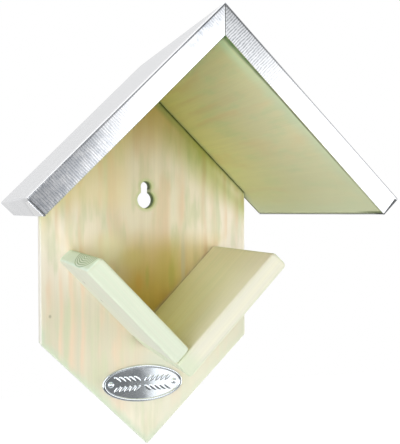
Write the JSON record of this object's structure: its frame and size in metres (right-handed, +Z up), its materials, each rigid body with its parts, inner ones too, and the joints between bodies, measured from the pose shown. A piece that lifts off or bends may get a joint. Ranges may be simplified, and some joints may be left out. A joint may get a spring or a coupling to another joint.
{
  "type": "peanut butter bird feeder",
  "caption": "Wall-hung wooden bird feeder: a pointed back board with a keyhole, a metal-covered gable roof and a V-shaped cradle that holds a jar on its side.",
  "frame": {"origin": "centre of the wide part of the keyhole, at the back board's rear face, which is the wall", "axes": "+Z up along the back board, +Y into the wall, +X to the right as seen from the front; the front looks to -Y"},
  "size_m": [0.1788, 0.1625, 0.2437],
  "materials": {
    "washed_pine": "planed pine with a thin pale green wash, matt",
    "zinc_sheet": "bright galvanised sheet with fine cross lines",
    "polished_metal": "polished",
    "nail_steel": "bright zinc-plated steel"
  },
  "bodies": {
    "root": {"back_board": "washed_pine", "roof_board_left": "washed_pine", "roof_board_right": "washed_pine", "roof_cover": "zinc_sheet", "cradle_board_left": "washed_pine", "cradle_board_right": "washed_pine", "oval_plate": "polished_metal", "plate_pins": "polished_metal", "roof_nails": "nail_steel", "ridge_nails": "nail_steel", "cradle_screws": "nail_steel", "cradle_nails": "nail_steel"}
  },
  "joints": []
}
